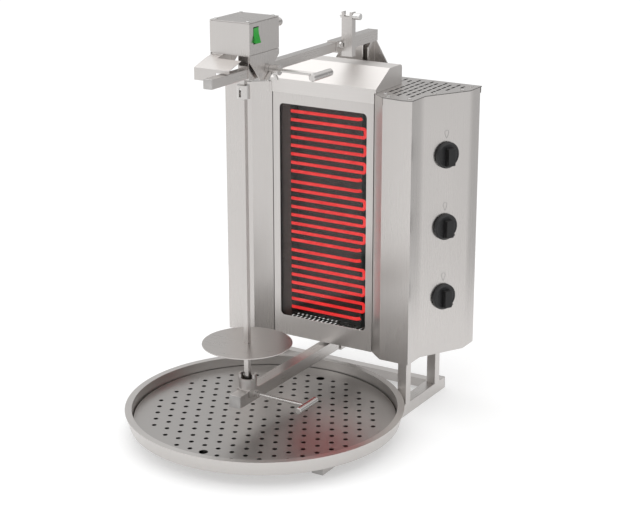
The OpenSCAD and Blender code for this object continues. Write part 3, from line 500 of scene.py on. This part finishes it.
# %% Turn the grain
rail_top = 26 * MM
cross_tube_half = 185 * MM
stand_piece = soft["base_frame"]
stand_piece.data.materials.append(steel_up)
stand_piece.data.materials.append(steel_across)
for face in stand_piece.data.polygons:
    if face.center.z > rail_top:
        face.material_index = 1
    elif abs(face.center.x) < cross_tube_half:
        face.material_index = 2

# %% Darken the tray's floor: fat stain and painted shade
# the floor and the ledge below the grate's rim take the fat stain and painted shade
fat_and_shade_top = grate_low[2] + 0.3 * MM
fat_and_shade_reach = grate_radius + 1 * MM
tray_piece = soft["drip_tray"]
tray_piece.data.materials.append(fat_and_shade)
for face in tray_piece.data.polygons:
    reach = math.hypot(face.center.x - grate_centre.x, face.center.y - grate_centre.y)
    if face.center.z < fat_and_shade_top and reach < fat_and_shade_reach and face.normal.z > -0.5:
        face.material_index = 1
print("stained faces:", sum(face.material_index == 1 for face in tray_piece.data.polygons))

# %% [markdown]
# ## Screws
#
# The covers and the motor's lid are held by pan-head screws with a cross recess. One head is shaped from a
# cylinder: its rim is bevelled wide to make the pan, and two thin blocks are cut out of it for the cross.
# Copies with their own mesh go to every hole, each turned differently, because nobody lines screws
# up. They are heads only: their shanks are out of sight in the frame.


# %% Shape one screw head
def screw_head(radius, height):
    """A pan head with a cross recess, standing on Z = 0."""
    deselect()
    bpy.ops.mesh.primitive_cylinder_add(vertices=32, radius=radius, depth=height,
                                        location=(0, 0, height / 2))
    head = bpy.context.object
    place(head)
    edit(head)
    pick(head, lambda centre, normal: normal.z > 0.9)
    bpy.ops.mesh.bevel(offset=0.45 * height, segments=4, affect="EDGES")
    for turn in (0, 90):
        deselect()
        bpy.ops.mesh.primitive_cube_add(size=1, location=(0, 0, height))
        blade = bpy.context.object
        blade.scale = (1.3 * radius, 0.26 * radius, height)
        blade.rotation_euler = (0, 0, math.radians(turn))
        place(blade)
        choose(head)
        cut = head.modifiers.new("cross", "BOOLEAN")
        cut.operation = "DIFFERENCE"
        cut.object = blade
        bpy.ops.object.modifier_apply(modifier=cut.name)
        bpy.data.objects.remove(blade)
    smooth(head, 40)
    return head


# %% Put the screws in
turn_step = 0.7


def screws(name, radius, height, places, node):
    """One piece with a head at every place, which takes the node's place."""
    model = screw_head(radius, height)
    heads = []
    for i, spot in enumerate(places):
        head = bpy.data.objects.new(name, model.data.copy())
        scene.collection.objects.link(head)
        head.data.transform(Matrix.Translation(spot) @ Matrix.Rotation(turn_step * i, 4, "Z"))
        heads.append(head)
    bpy.data.objects.remove(model)
    choose(heads[0])
    for head in heads:
        head.select_set(True)
    bpy.ops.object.join()
    dress(heads[0], zinc)
    stand_for(heads[0], node)


# millimetres from the middle and from the frame's origin, mirrored for the left cover
COVER_SCREWS = [(141, 4), (158, -15), (205, -15), (223, 56), (255, 115), (255, 154)]
cover_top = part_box("right_cover")[1][2]
cover_places = [Vector((side * x * MM, y * MM, cover_top)) for side in (-1, 1) for x, y in COVER_SCREWS]
screws("cover_screw_heads", 4.2 * MM, 2.0 * MM, cover_places, "cover_screws")
lid_inset = 8 * MM
lid_low, lid_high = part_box("motor_lid")
lid_places = [Vector((x, y, lid_high[2])) for x in (lid_low[0] + lid_inset, lid_high[0] - lid_inset)
              for y in (lid_low[1] + lid_inset, lid_high[1] - lid_inset)]
screws("lid_screw_heads", 3.75 * MM, 2.2 * MM, lid_places, "lid_screws")
print("screw heads:", len(cover_places) + len(lid_places))

# %% [markdown]
# ## Knobs
#
# A knob is a round skirt with a shallow dished top and a grip bar across it. On the lower two a small nub at
# the rim is the pointer. One knob is shaped from a cylinder and a block with its axis along Z, and then
# copied to the three spindles. The control face's middle and slant are read from the wing it belongs to, and
# the heights from the frame's own knobs.

# %% Shape the knob's skirt
knob_radius = 26.8 * MM
skirt_height = 5 * MM
skirt_middle = 3.5 * MM
deselect()
bpy.ops.mesh.primitive_cylinder_add(vertices=96, radius=knob_radius, depth=skirt_height,
                                    location=(0, 0, skirt_middle))
skirt = bpy.context.object
skirt.name = "knob_skirt"
place(skirt)
edit(skirt)
pick(skirt, lambda centre, normal: normal.z > 0.9)
bpy.ops.mesh.inset(thickness=0.8 * MM)
bpy.ops.mesh.extrude_region_move(TRANSFORM_OT_translate={"value": (0, 0, 3.2 * MM)})
bpy.ops.transform.resize(value=(0.90, 0.90, 1.0))
bpy.ops.mesh.inset(thickness=1.6 * MM)
bpy.ops.mesh.extrude_region_move(TRANSFORM_OT_translate={"value": (0, 0, -0.8 * MM)})
bpy.ops.mesh.inset(thickness=5.0 * MM)
bpy.ops.mesh.extrude_region_move(TRANSFORM_OT_translate={"value": (0, 0, 0.9 * MM)})
deselect()
bevelled(skirt, 0.5 * MM, segments=2, angle=25)

# %% Shape its grip and join the two
grip_place = (1 * MM, -2 * MM, 14.5 * MM)
grip_size = (18 * MM, 37 * MM, 13 * MM)
deselect()
bpy.ops.mesh.primitive_cube_add(size=1, location=grip_place)
grip = bpy.context.object
grip.name = "knob_grip"
grip.scale = grip_size
place(grip)
edit(grip)
pick(grip, lambda centre, normal: normal.z > 0.9)
bpy.ops.transform.resize(value=(0.90, 0.95, 1.0))
deselect()
bevelled(grip, 1.2 * MM, segments=3, angle=40)
# The grip's blacker plastic is painted shade.
dress(grip, grip_plastic_in_painted_shade)
dress(skirt, black_plastic)
choose(grip)
skirt.select_set(True)
bpy.context.view_layer.objects.active = skirt
bpy.ops.object.join()
knob_model = skirt
smooth(knob_model, 30)
print("knob model:", len(knob_model.data.polygons), "faces")

# %% Shape the pointer nub
nub_place = (19 * MM, -19 * MM, 3.6 * MM)
nub_size = (7 * MM, 5 * MM, 4 * MM)
deselect()
bpy.ops.mesh.primitive_cube_add(size=1, location=nub_place)
nub = bpy.context.object
nub.scale = nub_size
nub.rotation_euler = (0, 0, math.radians(-45))
place(nub)
bevelled(nub, 0.8 * MM, segments=2, angle=40)
smooth(nub)
dress(nub, black_plastic)

# %% Find the spindles on the control face
def middle(values):
    """Half way between the lowest and the highest value."""
    return (min(values) + max(values)) / 2


wing = nodes["right_wing"].data
slanted = [face for face in wing.polygons if 0.8 < face.normal.x < 0.95 and face.normal.y < -0.3]
corners = [wing.vertices[i].co for face in slanted for i in face.vertices]
face_x = middle([corner.x for corner in corners])
face_y = middle([corner.y for corner in corners])
face_normal = slanted[0].normal.copy()
face_up = Vector((0, 0, 1))
face_side = face_up.cross(face_normal)
to_face = Matrix((face_side, face_up, face_normal)).transposed().to_4x4()
# whether the knob shows its nub
KNOBS = {"knob_bottom": True, "knob_middle": True, "knob_top": False}
spindle = {name: Vector((face_x, face_y, middle([corner[2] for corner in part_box(name)]))) for name in KNOBS}
print("spindles:", [[round(v, 4) for v in place_at] for place_at in spindle.values()])

# %% Copy the knob to each
for name, with_nub in KNOBS.items():
    piece = bpy.data.objects.new(name + "_cap", knob_model.data.copy())
    scene.collection.objects.link(piece)
    if with_nub:
        extra = bpy.data.objects.new(name + "_nub", nub.data.copy())
        scene.collection.objects.link(extra)
        choose(piece)
        extra.select_set(True)
        bpy.ops.object.join()
    piece.data.transform(Matrix.Translation(spindle[name]) @ to_face)
    stand_for(piece, name)
for model in (knob_model, nub):
    bpy.data.objects.remove(model)
print("knobs:", list(KNOBS))

# %% [markdown]
# ## Marks above the knobs
#
# A thin outline of a drop is printed above each knob. It is a disc whose lower part is drawn out to a
# point; its face is inset and the middle deleted, which leaves the line.

# %% Print the marks
mark_radius = 5 * MM
mark_drop = 7 * MM
mark_line = 0.7 * MM
print_depth = 0.15 * MM
print_middle = 0.1 * MM
above_spindle = 45.5 * MM
ink, tree, shader = material_with("grey print", Roughness=0.6)
tree.links.new(two_tone(tree, noise(tree, (900, 900, 900)), (0.22, 0.215, 0.21), (0.30, 0.295, 0.29)),
               shader.inputs["Base Color"])
deselect()
bpy.ops.mesh.primitive_cylinder_add(vertices=48, radius=mark_radius, depth=print_depth,
                                    location=(0, 0, print_middle))
mark = bpy.context.object
place(mark)
for vertex in mark.data.vertices:
    if vertex.co.y < 0:
        drop = vertex.co.y / mark_radius
        vertex.co.y -= mark_drop * drop * drop
        vertex.co.x *= 1 - 0.45 * drop * drop
edit(mark)
pick(mark, lambda centre, normal: abs(normal.z) > 0.9)
bpy.ops.mesh.inset(thickness=mark_line)
bpy.ops.mesh.delete(type="FACE")
deselect()
marks = []
for spot in spindle.values():
    piece = bpy.data.objects.new("drop_mark", mark.data.copy())
    scene.collection.objects.link(piece)
    piece.data.transform(Matrix.Translation(spot + Vector((0, 0, above_spindle))) @ to_face)
    marks.append(piece)
bpy.data.objects.remove(mark)
choose(marks[0])
for piece in marks:
    piece.select_set(True)
bpy.ops.object.join()
dress(marks[0], ink)
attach(marks[0], nodes["right_wing"]["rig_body"])
print("marks:", len(marks[0].data.polygons), "faces")

# %% [markdown]
# ## Studio
#
# A catalogue picture of steel is mostly a picture of its surroundings. The floor is a pale round sheet that
# fades into the room a metre away, so no edge shows. The room is a bright dome that darkens towards its
# horizon, which the level faces mirror, and towards the back right, which the right-hand faces mirror. Two
# soft panels whiten the sloping hood and the left side.

# %% Floor
floor_radius = 3.0
floor_centre = (0, -0.1, 0)
fade_starts = 0.7
fade_ends = 1.25
deselect()
bpy.ops.mesh.primitive_circle_add(vertices=96, radius=floor_radius, fill_type="NGON",
                                  location=floor_centre)
floor = bpy.context.object
floor.name = "floor"
place(floor)
paper, tree, shader = material_with("pale floor", Roughness=0.9, Emission_Strength=0.36)
shader.inputs["Specular IOR Level"].default_value = 0.1
shader.inputs["Emission Color"].default_value = (1.0, 1.0, 1.0, 1.0)
tree.links.new(two_tone(tree, noise(tree, (3, 3, 3)), (0.69, 0.69, 0.69), (0.71, 0.71, 0.71)),
               shader.inputs["Base Color"])
where = tree.nodes.new("ShaderNodeTexCoord")
reach = tree.nodes.new("ShaderNodeVectorMath")
reach.operation = "LENGTH"
tree.links.new(where.outputs["Object"], reach.inputs[0])
cover = ranged(tree, reach.outputs["Value"], 1.0, 0.0, fade_starts, fade_ends)
tree.links.new(cover, shader.inputs["Alpha"])
dress(floor, paper)

# %% Dome
# height of the direction looked in, from -1 straight down to 1 straight up, and the grey seen there;
# straight up stays white
below_horizon = 0.84
SKY = ((-0.02, 0.84), (0.02, 0.36), (0.30, 0.44), (0.60, 0.80))
dark_side = (0.62, 0.72, -0.304)
dark_grey = 0.61
dark_starts = 0.66
dark_full = 0.92
world = bpy.data.worlds.new("studio")
scene.world = world
world.use_nodes = True
tree = world.node_tree
dome = tree.nodes["Background"]
where = tree.nodes.new("ShaderNodeTexCoord")
parts = tree.nodes.new("ShaderNodeSeparateXYZ")
tree.links.new(where.outputs["Generated"], parts.inputs["Vector"])
ramp = tree.nodes.new("ShaderNodeValToRGB")
ramp.color_ramp.elements[0].color = (below_horizon, below_horizon, below_horizon, 1.0)
for height, light in SKY:
    stop = ramp.color_ramp.elements.new((height + 1) / 2)
    stop.color = (light, light, light, 1.0)
tree.links.new(ranged(tree, parts.outputs["Z"], 0.0, 1.0, -1.0, 1.0), ramp.inputs["Fac"])
toward = tree.nodes.new("ShaderNodeVectorMath")
toward.operation = "DOT_PRODUCT"
toward.inputs[1].default_value = dark_side
tree.links.new(where.outputs["Generated"], toward.inputs[0])
shade = tree.nodes.new("ShaderNodeMix")
shade.data_type = "RGBA"
shade.blend_type = "MULTIPLY"
shade.inputs["B"].default_value = (dark_grey, dark_grey, dark_grey, 1.0)
dark_part = ranged(tree, toward.outputs["Value"], 0.0, 1.0, dark_starts, dark_full)
tree.links.new(dark_part, shade.inputs["Factor"])
tree.links.new(ramp.outputs["Color"], shade.inputs["A"])
tree.links.new(shade.outputs["Result"], dome.inputs["Color"])
dome.inputs["Strength"].default_value = 1.27


# %% Soft panels
def soft_panel(name, size, place_at, aim, power):
    """A square area light that faces the point aim."""
    lamp = bpy.data.lights.new(name, "AREA")
    lamp.shape = "SQUARE"
    lamp.size = size
    lamp.energy = power
    panel = bpy.data.objects.new(name, lamp)
    panel.location = place_at
    panel.rotation_euler = (Vector(aim) - Vector(place_at)).to_track_quat("-Z", "Y").to_euler()
    scene.collection.objects.link(panel)


soft_panel("overhead", 2.2, (-1.0, 0.25, 2.9), (0, 0, 0.5), 8)
soft_panel("front left", 1.8, (-2.0, -2.6, 2.4), (-0.9, -1.5, 0), 12)
scene.view_settings.view_transform = "Standard"
print("studio: floor, dome and two soft panels")
